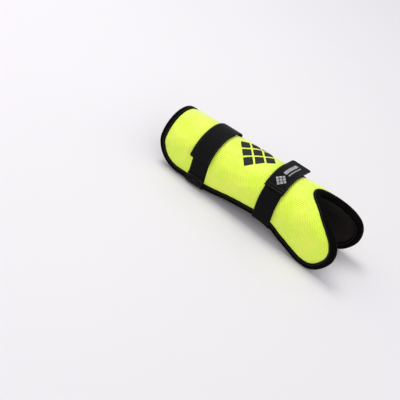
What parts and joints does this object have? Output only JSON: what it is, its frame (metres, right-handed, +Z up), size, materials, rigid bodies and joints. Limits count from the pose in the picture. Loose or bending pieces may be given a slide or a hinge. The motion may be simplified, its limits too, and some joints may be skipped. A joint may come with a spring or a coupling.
{
  "type": "shin guard",
  "caption": "Soft-shell field hockey shin guard: a padded U-shaped leg cradle with ankle wings, bound edges and hook-and-loop straps that open at the back.",
  "frame": {"origin": "centre of the object's box in plan, on the surface it lies on", "axes": "+X towards the knee end, +Y towards the guard's left side as it lies front up, +Z up; the pad's own axis leans 3.3 degrees down towards the knee end, because it lies on its ankle wings and on the upper strap"},
  "size_m": [0.3032, 0.0891, 0.0887],
  "materials": {
    "neon_mesh": "matt spacer mesh",
    "shell_plastic": "satin",
    "foam": "matt closed-cell foam",
    "lining_fabric": "brushed",
    "binding_tape": "ribbed tape",
    "thread": "polyester thread",
    "print": "flexible transfer print",
    "loop_tape": "looped pile",
    "elastic": "woven elastic",
    "tab_fabric": "smooth woven tape",
    "hook_tape": "moulded hooks",
    "label_print": "grey print"
  },
  "bodies": {
    "pad": {"mesh_cover": "neon_mesh", "shell_insert": "shell_plastic", "foam_pad": "foam", "left_ankle_pad": "foam", "right_ankle_pad": "foam", "lining": "lining_fabric", "edge_binding": "binding_tape", "binding_seam": "thread", "front_emblem": "print", "upper_loop_strip": "loop_tape", "upper_anchor": "elastic", "upper_anchor_stitches": "thread", "lower_loop_strip": "loop_tape", "lower_anchor": "elastic", "lower_anchor_stitches": "thread"},
    "upper_rear_strap": {"upper_rear_band": "elastic"},
    "upper_side_strap": {"upper_side_band": "elastic"},
    "upper_closing_tab": {"upper_tab": "tab_fabric", "upper_tab_hook": "hook_tape", "upper_tab_stitches": "thread"},
    "lower_rear_strap": {"lower_rear_band": "elastic"},
    "lower_side_strap": {"lower_side_band": "elastic"},
    "lower_closing_tab": {"lower_tab": "tab_fabric", "lower_tab_hook": "hook_tape", "lower_tab_stitches": "thread", "lower_tab_label": "label_print"}
  },
  "joints": [
    {"name": "upper_strap_open", "type": "hinge", "parent": "pad", "child": "upper_rear_strap", "pos_m": [0.07336, 0.0423, 0.00171], "axis": [0.9983, 0, -0.058], "range_deg": [0, 70]},
    {"name": "upper_strap_unwrap", "type": "hinge", "parent": "upper_rear_strap", "child": "upper_side_strap", "pos_m": [0.07336, -0.0423, 0.00171], "axis": [0.9983, 0, -0.058], "range_deg": [0, 70]},
    {"name": "upper_tab_peel", "type": "hinge", "parent": "upper_side_strap", "child": "upper_closing_tab", "pos_m": [0.07725, -0.03003, 0.06874], "axis": [0.9983, 0, -0.058], "range_deg": [0, 105]},
    {"name": "lower_strap_open", "type": "hinge", "parent": "pad", "child": "lower_rear_strap", "pos_m": [-0.03856, -0.0423, 0.01501], "axis": [-0.9983, 0, 0.058], "range_deg": [0, 70]},
    {"name": "lower_strap_unwrap", "type": "hinge", "parent": "lower_rear_strap", "child": "lower_side_strap", "pos_m": [-0.03856, 0.0423, 0.01501], "axis": [-0.9983, 0, 0.058], "range_deg": [0, 70]},
    {"name": "lower_tab_peel", "type": "hinge", "parent": "lower_side_strap", "child": "lower_closing_tab", "pos_m": [-0.03534, 0.03451, 0.07042], "axis": [-0.9983, 0, 0.058], "range_deg": [0, 105]}
  ],
  "couplings": [
    {"joint": "upper_strap_unwrap", "follows": "upper_strap_open", "ratio": 1},
    {"joint": "upper_tab_peel", "follows": "upper_strap_open", "ratio": 1.5},
    {"joint": "lower_strap_unwrap", "follows": "lower_strap_open", "ratio": 1},
    {"joint": "lower_tab_peel", "follows": "lower_strap_open", "ratio": 1.5}
  ]
}
